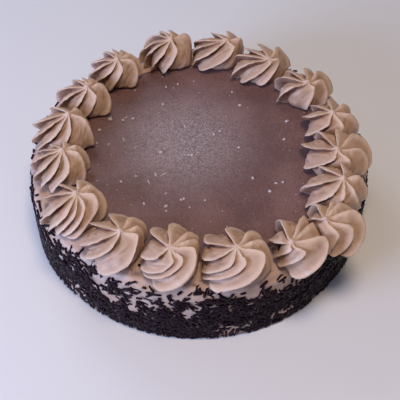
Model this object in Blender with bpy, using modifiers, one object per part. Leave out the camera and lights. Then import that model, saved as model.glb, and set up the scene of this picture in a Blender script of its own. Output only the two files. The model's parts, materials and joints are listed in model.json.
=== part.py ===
# Round iced layer cake, uncut: a low cake under a buttercream coat, chocolate
# vermicelli pressed into its side, a thin glaze on top and a ring of piped
# rosettes. Metres, +Z up, origin at the middle of the underside.

import math
import random

import bmesh
import bpy
from mathutils import Euler, Matrix, Vector

MM = 0.001

# The iced body
BODY_RADIUS = 104.5 * MM
BODY_HEIGHT = 46.0 * MM
EDGE_ROUND = 5.0 * MM
EDGE_DEGREES = (90, 60, 30, 0)
FOOT_SPREAD = 0.8 * MM
FOOT_CHAMFER = 1.2 * MM
BODY_STEPS = 64
COAT_WAVES = ((3, 0.45 * MM, 0.6), (5, 0.30 * MM, 2.1), (8, 0.22 * MM, 4.0))

# The glaze lies in a shallow bed, flush with the coat around it
GLAZE_RADIUS = 83.7 * MM
GLAZE_THICKNESS = 1.5 * MM
CLEARANCE = 0.3 * MM

# Vermicelli fused to the side
SPRINKLE_COUNT = 262
SPRINKLE_LENGTH = (4.4 * MM, 7.0 * MM)
SPRINKLE_RADIUS = (0.85 * MM, 1.15 * MM)
SPRINKLE_SIDES = 6
SPRINKLE_BAND = (2.4 * MM, 37.5 * MM)
SPRINKLE_SINK = 0.15 * MM
SPRINKLE_SPACE = 1.02
SPRINKLE_TRIES = 60
SPRINKLE_SEED = 21

# Piped rosettes, in mm: the middle, the width along X and along Y, and how far the
# tip stands off the middle; then, for each of its ridges, the bearing in degrees
# at which it leaves the tip, the bearing that it reaches at the hem, and how
# strongly it stands out
ROSETTES = (
    ((-20.0, 88.7), (36.9, 31.3), (1.8, 1.0), (20, 75, 125, 185, 212, 243, 278),
     (-24, 56, 155, 187, 210, 229, 253), (1.0, 0.91, 0.82, 1.0, 1.14, 1.05, 0.98)),
    ((12.9, 88.2), (40.9, 29.0), (6.0, 0.5), (-5, 50, 95, 160, 200, 240, 295),
     (4, 23, 82, 130, 165, 201, 231), (1.07, 1.05, 0.82, 0.88, 1.07, 1.0, 0.99)),
    ((40.6, 75.8), (36.8, 29.0), (6.0, -6.0), (20, 80, 125, 170, 222, 280, 312),
     (1, 32, 81, 149, 203, 226, 266), (1.14, 0.96, 0.82, 1.07, 1.14, 0.97, 1.0)),
    ((68.1, 51.7), (32.6, 29.0), (2.3, -6.0), (20, 70, 120, 160, 215, 285, 335),
     (-13, 46, 102, 155, 204, 269, 313), (1.14, 0.96, 0.88, 1.14, 1.14, 0.93, 1.0)),
    ((83.1, 17.4), (31.0, 33.0), (0.4, 0.6), (-20, 30, 80, 130, 175, 235, 290),
     (-9, 35, 66, 112, 135, 186, 276), (0.97, 1.0, 1.01, 1.14, 1.13, 0.94, 0.82)),
    ((83.5, -9.3), (39.4, 38.0), (-0.3, -4.5), (30, 72, 115, 175, 240, 283, 340),
     (-26, 43, 111, 132, 190, 275, 317), (1.0, 1.02, 1.14, 1.05, 0.88, 0.82, 0.85)),
    ((80.1, -37.6), (33.6, 37.0), (4.0, 0.7), (-8, 60, 120, 180, 230, 265, 300),
     (-13, 41, 95, 165, 197, 243, 327), (1.02, 1.0, 0.85, 1.08, 1.06, 0.82, 0.82)),
    ((75.6, -66.3), (31.0, 31.1), (-5.0, -1.5), (0, 45, 68, 112, 165, 265, 312),
     (-75, 7, 65, 126, 175, 246, 260), (1.25, 1.06, 1.0, 1.13, 0.99, 0.85, 0.88)),
    ((56.9, -77.4), (32.2, 32.4), (-6.0, -6.0), (-30, 30, 62, 120, 188, 225, 265),
     (-115, -2, 64, 128, 154, 194, 212), (1.28, 0.98, 1.0, 1.14, 1.14, 0.82, 0.85)),
    ((19.4, -86.4), (42.0, 34.6), (1.5, -0.6), (-40, 5, 40, 154, 210, 250, 280),
     (-128, -17, 29, 54, 133, 184, 200), (1.32, 1.1, 1.03, 0.95, 0.85, 0.78, 0.82)),
    ((-14.6, -84.1), (33.8, 36.1), (-0.5, -2.8), (-35, 0, 22, 130, 215, 265, 293),
     (-124, 2, 20, 49, 129, 180, 196), (1.32, 1.0, 1.01, 0.95, 0.9, 0.78, 0.82)),
    ((-46.3, -75.3), (35.7, 32.7), (3.9, -0.8), (-40, 0, 38, 90, 141, 205, 252),
     (-118, -15, 15, 46, 109, 165, 196), (1.32, 0.94, 1.05, 1.0, 0.95, 0.88, 0.85)),
    ((-72.6, -51.5), (34.3, 31.5), (3.5, 3.1), (-16, 25, 60, 160, 215, 250, 273, 300),
     (-95, -22, 35, 140, 200, 220, 237, 251), (1.15, 1.14, 1.14, 0.98, 1.14, 1.0, 0.85, 0.85)),
    ((-82.6, -18.6), (32.6, 30.5), (2.0, 4.2), (-12, 22, 110, 180, 218, 252, 288),
     (-39, 9, 73, 166, 202, 224, 248), (0.85, 1.0, 0.85, 1.09, 1.02, 0.96, 1.01)),
    ((-82.9, 10.9), (36.5, 36.0), (2.7, 5.6), (-15, 45, 110, 170, 205, 240, 277),
     (-27, 52, 120, 150, 186, 208, 251), (0.91, 0.89, 1.08, 1.14, 1.02, 1.0, 0.82)),
    ((-73.6, 40.3), (31.8, 29.0), (3.0, 1.0), (8, 55, 105, 160, 205, 250, 300),
     (-40, 38, 123, 162, 201, 230, 261), (1.0, 1.01, 0.91, 1.06, 1.07, 0.82, 0.82)),
    ((-55.2, 69.2), (31.0, 29.0), (1.9, -0.3), (-20, 20, 110, 170, 205, 245, 277),
     (-52, -2, 121, 144, 186, 205, 253), (0.96, 1.01, 0.91, 0.96, 1.1, 1.02, 1.0)),
)
ROSETTE_HEIGHT = 18.5 * MM
ROSETTE_MARGIN = 0.8 * MM

# Shares of a rosette's height, and of its core for the width of the tip
TIP_SHARE = 0.15
TIP_WIDTH = 0.15
TIP_POWER = 1.2
BELLY_SHARE = 0.26
DOME_POWER = 0.95
HEM_POWER = 0.8

# Ridges are blades: a long slope climbs to a thin crest of one thickness, and
# past it the cream drops steeply; the crest leans the way that the nozzle turned
RIDGE_DEPTH = 6.2 * MM
RIDGE_CORE = 0.78
SLOPE_SHARE = 0.6
SLOPE_POWER = 1.2
FILL_SHARE = 0.22
FILL_GAP = (math.radians(50), math.radians(110))
FIN_THICKNESS = 0.85 * MM
FIN_POWER = 2.4
FIN_RISE = 0.6
FIN_LEAN = 0.35
TIP_REACH = 1.2 * MM
RIDGE_COLUMNS = (0.0, 0.2, 0.8)

# Degrees from the tip: the loft's sections, where ridges reach their depth, between
# which they sweep round, and where they fade under the belly
RING_ANGLES = (2, 16, 34, 52, 69, 85, 103, 122)
TIP_DEPTH = 0.22
DEPTH_GROWTH = (math.radians(3), math.radians(44))
DEPTH_FADE = 0.55
FADE_START = math.radians(95)
UNDERCUT = math.radians(122)
SWEEP_START = math.radians(35)
HEM = math.radians(106)
SWEEP_POWER = 1.3
TOUCH_START = 0.8


def clear_scene():
    for item in list(bpy.data.objects):
        bpy.data.objects.remove(item, do_unlink=True)


def new_collection(name):
    collection = bpy.data.collections.new(name)
    bpy.context.scene.collection.children.link(collection)
    return collection


def material(name, colour, roughness):
    finish = bpy.data.materials.new(name)
    finish.use_nodes = True
    shader = finish.node_tree.nodes["Principled BSDF"]
    shader.inputs["Base Color"].default_value = (*colour, 1.0)
    shader.inputs["Roughness"].default_value = roughness
    shader.inputs["Metallic"].default_value = 0.0
    return finish


def add_object(name, mesh, collection, finish):
    item = bpy.data.objects.new(name, mesh)
    item.data.materials.append(finish)
    collection.objects.link(item)
    return item


def ease(low, high, value):
    share = min(max((value - low) / (high - low), 0.0), 1.0)
    return share * share * (3.0 - 2.0 * share)


# The coat was spread by hand, so its radius wanders a little with bearing
def coat_bulge(bearing):
    return sum(size * math.sin(waves * bearing + start) for waves, size, start in COAT_WAVES)


def body_profile():
    bed = GLAZE_RADIUS + CLEARANCE
    floor = BODY_HEIGHT - GLAZE_THICKNESS - CLEARANCE
    points = [(0.0, floor), (bed, floor), (bed, BODY_HEIGHT)]
    shoulder = BODY_RADIUS - EDGE_ROUND
    for degrees in EDGE_DEGREES:
        angle = math.radians(degrees)
        reach = shoulder + EDGE_ROUND * math.cos(angle)
        points.append((reach, BODY_HEIGHT - EDGE_ROUND + EDGE_ROUND * math.sin(angle)))
    points.append((BODY_RADIUS + FOOT_SPREAD, FOOT_CHAMFER))
    points.append((BODY_RADIUS + FOOT_SPREAD - FOOT_CHAMFER, 0.0))
    points.append((0.0, 0.0))
    return points


def turned(name, profile, steps):
    mesh = bpy.data.meshes.new(name)
    edges = [(i, i + 1) for i in range(len(profile) - 1)]
    mesh.from_pydata([(reach, 0.0, height) for reach, height in profile], edges, [])
    item = bpy.data.objects.new(name, mesh)
    bpy.context.scene.collection.objects.link(item)
    screw = item.modifiers.new("Turn", "SCREW")
    screw.steps = steps
    screw.render_steps = steps
    screw.use_merge_vertices = True
    screw.merge_threshold = 0.00001
    result = bpy.data.meshes.new_from_object(item.evaluated_get(bpy.context.evaluated_depsgraph_get()))
    bpy.data.objects.remove(item, do_unlink=True)
    return result


def make_body(collection, finish):
    mesh = turned("cake_body", body_profile(), BODY_STEPS)
    for vertex in mesh.vertices:
        reach = math.hypot(vertex.co.x, vertex.co.y)
        share = ease(GLAZE_RADIUS + 2 * EDGE_ROUND, BODY_RADIUS - EDGE_ROUND, reach)
        if share > 0.0:
            grow = 1.0 + share * coat_bulge(math.atan2(vertex.co.y, vertex.co.x)) / reach
            vertex.co.x *= grow
            vertex.co.y *= grow
    body = add_object("cake_body", mesh, collection, finish)
    mesh.shade_smooth()
    mesh.set_sharp_from_angle(angle=math.radians(40))
    return body


def sprinkle_places():
    draw = random.Random(SPRINKLE_SEED)
    sizes = sorted((draw.uniform(*SPRINKLE_LENGTH) for _ in range(SPRINKLE_COUNT)), reverse=True)
    placed = []
    for length in sizes:
        best = None
        for _ in range(SPRINKLE_TRIES):
            bearing = draw.uniform(-math.pi, math.pi)
            height = draw.uniform(*SPRINKLE_BAND)
            near = min((spread_between(bearing, height, other) for other in placed), default=BODY_RADIUS)
            if best is None or near > best[0]:
                best = (near, bearing, height)
        turn = draw.uniform(-math.pi / 2, math.pi / 2)
        radius = draw.uniform(*SPRINKLE_RADIUS)
        lowest = length / 2 * math.cos(turn) + radius + CLEARANCE
        if best[0] > SPRINKLE_SPACE * length:
            placed.append((best[1], max(best[2], lowest), length, turn, radius))
    return placed


def spread_between(bearing, height, other):
    around = math.remainder(bearing - other[0], 2 * math.pi) * BODY_RADIUS
    return math.hypot(around, height - other[1])


def side_radius(bearing, height):
    return BODY_RADIUS + coat_bulge(bearing) + FOOT_SPREAD * (1.0 - height / (BODY_HEIGHT - EDGE_ROUND))


def make_sprinkles(finish):
    rods = new_collection("sprinkle_rods")
    for number, (bearing, height, length, turn, radius) in enumerate(sprinkle_places()):
        bm = bmesh.new()
        bmesh.ops.create_cone(
            bm, cap_ends=True, segments=SPRINKLE_SIDES, radius1=radius, radius2=radius, depth=length
        )
        mesh = bpy.data.meshes.new(f"sprinkle_{number:03d}")
        lie = Euler((turn, 0.0, 0.0)).to_matrix().to_4x4()
        around = Matrix.Rotation(bearing, 4, "Z")
        out = side_radius(bearing, height) - SPRINKLE_SINK
        bm.transform(around @ Matrix.Translation(Vector((out, 0.0, height))) @ lie)
        bm.to_mesh(mesh)
        bm.free()
        add_object(mesh.name, mesh, rods, finish)
    return rods


def fuse(body, rods):
    union = body.modifiers.new("Sprinkles", "BOOLEAN")
    union.operation = "UNION"
    union.operand_type = "COLLECTION"
    union.collection = rods
    union.solver = "EXACT"
    graph = bpy.context.evaluated_depsgraph_get()
    joined = bpy.data.meshes.new_from_object(body.evaluated_get(graph))
    body.modifiers.clear()
    body.data = joined
    for rod in list(rods.objects):
        bpy.data.objects.remove(rod, do_unlink=True)
    bpy.data.collections.remove(rods)


def make_glaze(collection, finish):
    bm = bmesh.new()
    bmesh.ops.create_cone(
        bm,
        cap_ends=True,
        segments=BODY_STEPS,
        radius1=GLAZE_RADIUS,
        radius2=GLAZE_RADIUS,
        depth=GLAZE_THICKNESS,
    )
    bmesh.ops.translate(bm, verts=bm.verts, vec=(0.0, 0.0, BODY_HEIGHT - GLAZE_THICKNESS / 2))
    mesh = bpy.data.meshes.new("top_glaze")
    bm.to_mesh(mesh)
    bm.free()
    return add_object("top_glaze", mesh, collection, finish)


def middle_of(row):
    return Vector(row[0]) * MM


def width_of(row):
    return sum(row[1]) / 2 * MM


# Soft cream stops short of the plane that it shares with a neighbour
def pressed(distance, limit):
    start = limit * TOUCH_START
    if distance <= start:
        return distance
    room = limit - start
    return limit - room * math.exp(-(distance - start) / room)


def touching_planes(index):
    row = ROSETTES[index]
    planes = []
    for step in (-1, 1):
        other = ROSETTES[(index + step) % len(ROSETTES)]
        way = middle_of(other) - middle_of(row)
        share = width_of(row) / (width_of(row) + width_of(other))
        planes.append((way.normalized(), way.length * share - CLEARANCE / 2))
    return planes


# One point of the dome: angle runs from the tip over the belly to the underside
def dome_point(angle, core, belly, dome, tip):
    if angle <= math.pi / 2:
        reach = core * math.sin(angle)
        height = belly + dome * max(math.cos(angle), 0.0) ** DOME_POWER
    else:
        reach = core * math.sin(angle) ** HEM_POWER
        height = belly - belly * math.cos(angle) / math.cos(UNDERCUT)
    height += tip * math.exp(-((reach / (TIP_WIDTH * core)) ** TIP_POWER))
    return reach, height


def ridge_depth(angle):
    depth = RIDGE_DEPTH * (TIP_DEPTH + (1.0 - TIP_DEPTH) * ease(*DEPTH_GROWTH, angle))
    return depth * (1.0 - DEPTH_FADE * ease(FADE_START, UNDERCUT, angle))


# How high the cream stands between one crest and the next: 1 on both of them
def crest_at(across, gap, reach):
    away = min(across, 1.0 - across) * gap * max(reach, MM)
    fin = 1.0 / (1.0 + (away / FIN_THICKNESS) ** FIN_POWER)
    slope = SLOPE_SHARE * across**SLOPE_POWER
    slope += FILL_SHARE * ease(*FILL_GAP, gap) * math.sin(math.pi * across)
    return slope + (1.0 - slope) * fin


# Bearings of a rosette's ridges, in radians, with the first one again at the end
def around(bearings):
    turns = [math.radians(bearing) for bearing in bearings]
    return [*turns, turns[0] + 2 * math.pi]


def blend(first, last, share):
    return first + (last - first) * share


def rosette_points(index):
    middle, widths, tip_shift, starts, ends, strengths = ROSETTES[index]
    count = len(starts)
    starts = around(starts)
    ends = around(ends)
    mean = sum(widths) / 2
    radius = mean * MM / 2 + ROSETTE_MARGIN
    core = radius - RIDGE_CORE * RIDGE_DEPTH
    belly = BELLY_SHARE * ROSETTE_HEIGHT
    tip = TIP_SHARE * ROSETTE_HEIGHT
    dome = ROSETTE_HEIGHT - belly - tip
    planes = touching_planes(index)
    rings = []
    for degrees in RING_ANGLES:
        angle = math.radians(degrees)
        reach, height = dome_point(angle, core, belly, dome, tip)
        depth = ridge_depth(angle)
        sweep = min(max(angle - SWEEP_START, 0.0) / (HEM - SWEEP_START), 1.0) ** SWEEP_POWER
        crests = [blend(first, last, sweep) for first, last in zip(starts, ends)]
        ring = []
        for ridge in range(count):
            gap = crests[ridge + 1] - crests[ridge]
            for across in RIDGE_COLUMNS:
                strength = strengths[(ridge + 1) % count if across > 0.5 else ridge]
                crest = crest_at(across, gap, reach)
                rise = depth * crest * strength
                far = reach + rise * (0.25 + 0.75 * math.sin(angle))
                up = height + FIN_RISE * rise * max(math.cos(angle), -0.15)
                lean = FIN_LEAN * rise * crest**0.3 / max(far, TIP_REACH)
                bearing = crests[ridge] + gap * across + lean
                point = Vector((math.cos(bearing) * widths[0], math.sin(bearing) * widths[1])) * far / mean
                point += Vector(tip_shift) * MM * ease(radius, 0.0, far)
                for way, limit in planes:
                    distance = point.dot(way)
                    point += way * (pressed(distance, limit) - distance)
                point += Vector(middle) * MM
                ring.append((point.x, point.y, BODY_HEIGHT + CLEARANCE + max(up, 0.0)))
        rings.append(ring)
    return rings


# A rosette is a loft through star sections that turn and shrink
def make_rosette(index, collection, finish):
    bm = bmesh.new()
    rings = [[bm.verts.new(point) for point in ring] for ring in rosette_points(index)]
    count = len(rings[0])
    for upper, lower in zip(rings, rings[1:]):
        for i in range(count):
            j = (i + 1) % count
            bm.faces.new((upper[i], lower[i], lower[j], upper[j]))
    bm.faces.new(rings[0])
    bm.faces.new(rings[-1])
    bmesh.ops.recalc_face_normals(bm, faces=bm.faces)
    name = f"rosette_{index + 1:02d}"
    mesh = bpy.data.meshes.new(name)
    bm.to_mesh(mesh)
    bm.free()
    mesh.shade_smooth()
    mesh.set_sharp_from_angle(angle=math.radians(50))
    return add_object(name, mesh, collection, finish)


def main():
    clear_scene()
    cake = new_collection("layer_cake")
    coat = material("buttercream_coat", (0.50, 0.34, 0.27), 0.45)
    vermicelli = material("chocolate_vermicelli", (0.018, 0.008, 0.009), 0.35)
    body = make_body(cake, coat)
    fuse(body, make_sprinkles(vermicelli))
    make_glaze(cake, material("chocolate_glaze", (0.14, 0.09, 0.08), 0.4))
    for index in range(len(ROSETTES)):
        shade = 0.50 + 0.01 * math.sin(index)
        cream = material(f"piped_buttercream_{index + 1:02d}", (shade, 0.34, 0.27), 0.45)
        make_rosette(index, cake, cream)


main()
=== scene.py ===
import json
import math
import random

import bmesh
import bpy
import numpy as np
from mathutils import Matrix, Vector, noise
from mathutils.bvhtree import BVHTree

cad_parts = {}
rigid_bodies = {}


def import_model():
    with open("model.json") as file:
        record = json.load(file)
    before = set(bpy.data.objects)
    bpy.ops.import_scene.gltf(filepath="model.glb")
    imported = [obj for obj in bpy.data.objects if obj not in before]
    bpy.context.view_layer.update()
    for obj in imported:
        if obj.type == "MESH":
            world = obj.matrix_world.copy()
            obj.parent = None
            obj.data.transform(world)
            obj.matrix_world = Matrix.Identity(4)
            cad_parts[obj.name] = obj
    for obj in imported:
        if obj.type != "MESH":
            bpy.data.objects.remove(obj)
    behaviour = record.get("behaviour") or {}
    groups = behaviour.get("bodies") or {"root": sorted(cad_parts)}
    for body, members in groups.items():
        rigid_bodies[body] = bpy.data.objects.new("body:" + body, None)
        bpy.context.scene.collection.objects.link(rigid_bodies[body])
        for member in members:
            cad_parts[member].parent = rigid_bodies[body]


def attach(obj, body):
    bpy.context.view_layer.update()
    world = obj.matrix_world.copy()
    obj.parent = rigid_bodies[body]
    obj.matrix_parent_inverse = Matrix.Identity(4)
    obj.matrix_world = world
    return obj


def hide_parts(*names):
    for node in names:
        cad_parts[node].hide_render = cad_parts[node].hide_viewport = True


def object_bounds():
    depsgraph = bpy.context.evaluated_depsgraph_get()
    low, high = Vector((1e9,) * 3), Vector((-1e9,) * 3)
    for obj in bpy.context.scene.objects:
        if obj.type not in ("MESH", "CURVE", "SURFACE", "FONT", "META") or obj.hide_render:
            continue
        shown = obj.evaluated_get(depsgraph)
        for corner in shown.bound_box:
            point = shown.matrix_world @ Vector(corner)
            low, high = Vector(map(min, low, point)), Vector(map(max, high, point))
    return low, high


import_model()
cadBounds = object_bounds()

mm = 0.001
tau = 2 * math.pi

# the coat's and the glaze's outer sizes are the solid model's
coat = {
    "radius": 104.5 * mm,
    "height": 46.0 * mm,
    "edgeRound": 5.0 * mm,
    "footSpread": 0.8 * mm,
    "footChamfer": 1.2 * mm,
    "waves": ((3, 0.45 * mm, 0.6), (5, 0.30 * mm, 2.1), (8, 0.22 * mm, 4.0)),
    "columns": 420,
    "sideRings": 34,
    "dig": 0.9 * mm,  # depth of the marks that the palette knife leaves
    "digShare": 0.40,
    "dents": (16 * mm, 0.8),  # size and share of the dig
    "grain": (4.5 * mm, 0.4),
    "strokes": (4 * mm, 0.7),
}
glaze = {
    "radius": 83.7 * mm,
    "thickness": 1.5 * mm,
    "columns": 256,
    "rows": 70,
    "dips": (22 * mm, 0.5),  # size and share
    "ripples": (5 * mm, 0.14),
    "dipDepth": 0.5 * mm,
}
clearance = 0.3 * mm


# from 0 to 1 between low and high, smooth at both ends
def ease(low, high, value):
    share = np.clip((np.asarray(value, dtype=float) - low) / (high - low), 0.0, 1.0)
    return share * share * (3.0 - 2.0 * share)


def easeDegrees(low, high, angle):
    return ease(math.radians(low), math.radians(high), angle)


# cloudy values between about -1 and 1, with lumps of the given size
def roughness(points, size, seed, octaves=3):
    shift = Vector((seed * 3.17, seed * 1.31, seed * 2.23))
    values = []
    for point in points.reshape(-1, 3):
        place = Vector(point) / size + shift
        values.append(noise.fractal(place, 1.0, 2.0, octaves, noise_basis="PERLIN_ORIGINAL"))
    return np.array(values).reshape(points.shape[:-1])


def addObject(name, mesh, finish):
    item = bpy.data.objects.new(name, mesh)
    mesh.materials.clear()
    mesh.materials.append(finish)
    bpy.context.scene.collection.objects.link(item)
    return item


# the faces of a band whose columns run all the way round
def bandFaces(rings, columns):
    faces = []
    for ring in range(rings - 1):
        for column in range(columns):
            after = (column + 1) % columns
            top, low = ring * columns, (ring + 1) * columns
            faces.append((top + column, low + column, low + after, top + after))
    return faces


# a closed skin of rings, with a fan of faces round a hub at each end
def ringMesh(name, points, firstHub, lastHub):
    rings, columns = points.shape[:2]
    vertices = [tuple(point) for point in points.reshape(-1, 3)]
    faces = bandFaces(rings, columns)
    for place, ring in ((firstHub, 0), (lastHub, rings - 1)):
        vertices.append(tuple(place))
        hub = len(vertices) - 1
        for column in range(columns):
            pair = (ring * columns + column, ring * columns + (column + 1) % columns)
            faces.append((hub, *pair) if ring == 0 else (hub, *reversed(pair)))
    mesh = bpy.data.meshes.new(name)
    mesh.from_pydata(vertices, [], faces)
    turnOutward(mesh)
    mesh.shade_smooth()
    return mesh


def turnOutward(mesh):
    bm = bmesh.new()
    bm.from_mesh(mesh)
    bmesh.ops.recalc_face_normals(bm, faces=bm.faces)
    bm.to_mesh(mesh)
    bm.free()


def addValues(mesh, name, values):
    attribute = mesh.attributes.new(name, "FLOAT", "POINT")
    padded = np.zeros(len(mesh.vertices))
    padded[: values.size] = values.reshape(-1)
    attribute.data.foreach_set("value", padded.astype(np.float32))


def socket(group, name, way, kind, value=None):
    item = group.interface.new_socket(name=name, in_out=way, socket_type=kind)
    if value is not None:
        item.default_value = value


# a colour that drifts between two shades, with a fine grain over it
def mottleGroup():
    group = bpy.data.node_groups.new("Mottle", "ShaderNodeTree")
    socket(group, "Vector", "INPUT", "NodeSocketVector")
    socket(group, "Light", "INPUT", "NodeSocketColor", (0.6, 0.4, 0.3, 1))
    socket(group, "Dark", "INPUT", "NodeSocketColor", (0.5, 0.3, 0.2, 1))
    socket(group, "Patch Scale", "INPUT", "NodeSocketFloat", 40.0)
    socket(group, "Grain Scale", "INPUT", "NodeSocketFloat", 600.0)
    socket(group, "Grain", "INPUT", "NodeSocketFloat", 0.3)
    socket(group, "Color", "OUTPUT", "NodeSocketColor")
    socket(group, "Grain Height", "OUTPUT", "NodeSocketFloat")
    nodes, links = group.nodes, group.links
    entry = nodes.new("NodeGroupInput")
    leave = nodes.new("NodeGroupOutput")
    patches = nodes.new("ShaderNodeTexNoise")
    patches.inputs["Detail"].default_value = 4.0
    grains = nodes.new("ShaderNodeTexNoise")
    grains.inputs["Detail"].default_value = 2.0
    blend = nodes.new("ShaderNodeMath")
    blend.operation = "MULTIPLY_ADD"
    centred = nodes.new("ShaderNodeMath")
    centred.operation = "SUBTRACT"
    centred.inputs[1].default_value = 0.5
    stretch = nodes.new("ShaderNodeMapRange")
    stretch.inputs["From Min"].default_value = 0.32
    stretch.inputs["From Max"].default_value = 0.68
    mix = nodes.new("ShaderNodeMix")
    mix.data_type = "RGBA"
    links.new(entry.outputs["Vector"], patches.inputs["Vector"])
    links.new(entry.outputs["Patch Scale"], patches.inputs["Scale"])
    links.new(entry.outputs["Vector"], grains.inputs["Vector"])
    links.new(entry.outputs["Grain Scale"], grains.inputs["Scale"])
    links.new(grains.outputs["Fac"], centred.inputs[0])
    links.new(centred.outputs[0], blend.inputs[0])
    links.new(entry.outputs["Grain"], blend.inputs[1])
    links.new(patches.outputs["Fac"], blend.inputs[2])
    links.new(blend.outputs[0], stretch.inputs["Value"])
    links.new(stretch.outputs["Result"], mix.inputs["Factor"])
    links.new(entry.outputs["Dark"], mix.inputs["A"])
    links.new(entry.outputs["Light"], mix.inputs["B"])
    links.new(mix.outputs["Result"], leave.inputs["Color"])
    links.new(grains.outputs["Fac"], leave.inputs["Grain Height"])
    return group


mottle = mottleGroup()


def newMaterial(name, roughnessValue, subsurface=0.0, specular=0.5):
    finish = bpy.data.materials.new(name)
    finish.use_nodes = True
    shader = finish.node_tree.nodes["Principled BSDF"]
    shader.inputs["Roughness"].default_value = roughnessValue
    shader.inputs["Subsurface Weight"].default_value = subsurface
    shader.inputs["Subsurface Radius"].default_value = (1.0, 0.55, 0.35)
    shader.inputs["Subsurface Scale"].default_value = 1.6 * mm
    shader.inputs["Specular IOR Level"].default_value = specular
    return finish, shader


def addMottle(finish, light, dark, patchScale, grainScale, grain):
    nodes, links = finish.node_tree.nodes, finish.node_tree.links
    coords = nodes.new("ShaderNodeTexCoord")
    use = nodes.new("ShaderNodeGroup")
    use.node_tree = mottle
    use.inputs["Light"].default_value = (*light, 1)
    use.inputs["Dark"].default_value = (*dark, 1)
    use.inputs["Patch Scale"].default_value = patchScale
    use.inputs["Grain Scale"].default_value = grainScale
    use.inputs["Grain"].default_value = grain
    links.new(coords.outputs["Object"], use.inputs["Vector"])
    return use, coords


def addBump(finish, shader, height, distance, strength):
    bump = finish.node_tree.nodes.new("ShaderNodeBump")
    bump.inputs["Distance"].default_value = distance
    bump.inputs["Strength"].default_value = strength
    finish.node_tree.links.new(height, bump.inputs["Height"])
    finish.node_tree.links.new(bump.outputs["Normal"], shader.inputs["Normal"])


# colour is laid over colour where a value kept on the mesh says so
def layOver(finish, below, attributeName, colour):
    nodes, links = finish.node_tree.nodes, finish.node_tree.links
    amount = nodes.new("ShaderNodeAttribute")
    amount.attribute_name = attributeName
    mix = nodes.new("ShaderNodeMix")
    mix.data_type = "RGBA"
    mix.inputs["B"].default_value = (*colour, 1)
    links.new(amount.outputs["Fac"], mix.inputs["Factor"])
    links.new(below, mix.inputs["A"])
    return mix.outputs["Result"]


# layers of painted light go over the cream: painted shade in creases and among strands, and a
# painted highlight along thin crests
def creamMaterial(name, light, dark, patchScale, layers):
    finish, shader = newMaterial(name, 0.46, subsurface=0.08, specular=0.38)
    use, _ = addMottle(finish, light, dark, patchScale, 1500.0, 0.5)
    colour = use.outputs["Color"]
    for attributeName, over in layers:
        colour = layOver(finish, colour, attributeName, over)
    finish.node_tree.links.new(colour, shader.inputs["Base Color"])
    addBump(finish, shader, use.outputs["Grain Height"], 0.2 * mm, 0.5)
    return finish


def glazeMaterial():
    finish, shader = newMaterial("chocolateGlaze", 0.46, specular=0.35)
    nodes, links = finish.node_tree.nodes, finish.node_tree.links
    light, dark = (0.222, 0.126, 0.115), (0.142, 0.076, 0.070)
    use, coords = addMottle(finish, light, dark, 34.0, 900.0, 0.9)
    # painted reflection: a pale speckled sheen standing in for the back light's reflection,
    # thickest left of the middle and towards the back
    away = nodes.new("ShaderNodeVectorMath")
    away.operation = "DISTANCE"
    away.inputs[1].default_value = (-9 * mm, 10 * mm, coat["height"])
    fade = nodes.new("ShaderNodeMapRange")
    fade.interpolation_type = "SMOOTHERSTEP"
    fade.inputs["From Min"].default_value = 0.0
    fade.inputs["From Max"].default_value = 66 * mm
    fade.inputs["To Min"].default_value = 1.0
    fade.inputs["To Max"].default_value = 0.0
    speckle = nodes.new("ShaderNodeTexNoise")
    speckle.inputs["Scale"].default_value = 1100.0
    speckle.inputs["Detail"].default_value = 2.0
    spread = nodes.new("ShaderNodeMapRange")
    spread.inputs["From Min"].default_value = 0.35
    spread.inputs["From Max"].default_value = 0.7
    spread.inputs["To Min"].default_value = 0.12
    spread.inputs["To Max"].default_value = 0.80
    amount = nodes.new("ShaderNodeMath")
    amount.operation = "MULTIPLY"
    # the pale colour of the painted sheen
    mix = nodes.new("ShaderNodeMix")
    mix.data_type = "RGBA"
    mix.inputs["B"].default_value = (0.47, 0.42, 0.43, 1)
    links.new(coords.outputs["Object"], away.inputs[0])
    links.new(away.outputs["Value"], fade.inputs["Value"])
    links.new(coords.outputs["Object"], speckle.inputs["Vector"])
    links.new(speckle.outputs["Fac"], spread.inputs["Value"])
    links.new(fade.outputs["Result"], amount.inputs[0])
    links.new(spread.outputs["Result"], amount.inputs[1])
    links.new(amount.outputs[0], mix.inputs["Factor"])
    links.new(use.outputs["Color"], mix.inputs["A"])
    links.new(mix.outputs["Result"], shader.inputs["Base Color"])
    addBump(finish, shader, use.outputs["Grain Height"], 0.2 * mm, 0.5)
    return finish


coatCream = creamMaterial(
    "buttercreamCoat",
    light=(0.56, 0.420, 0.365),
    dark=(0.52, 0.340, 0.235),
    patchScale=62.0,
    # painted shade in the knife marks, then painted shade among the crowded strands
    layers=(("crease", (0.36, 0.20, 0.13)), ("smear", (0.05, 0.026, 0.025))),
)
pipedCream = creamMaterial(
    "pipedButtercream",
    light=(0.56, 0.375, 0.265),
    dark=(0.47, 0.300, 0.205),
    patchScale=90.0,
    # painted shade in the creases, then a painted highlight along the thin crests
    layers=(("crease", (0.15, 0.058, 0.030)), ("edge", (0.74, 0.55, 0.42))),
)
glazeFinish = glazeMaterial()
strandFinish, strandShader = newMaterial("vermicelli", 0.34, specular=0.14)
strandShader.inputs["Base Color"].default_value = (0.0140, 0.0036, 0.0078, 1)
crumbFinish, crumbShader = newMaterial("crumbs", 0.6)
crumbShader.inputs["Base Color"].default_value = (0.56, 0.50, 0.49, 1)
print("materials made")


def coatBulge(bearing):
    return sum(size * np.sin(waves * bearing + start) for waves, size, start in coat["waves"])


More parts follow.
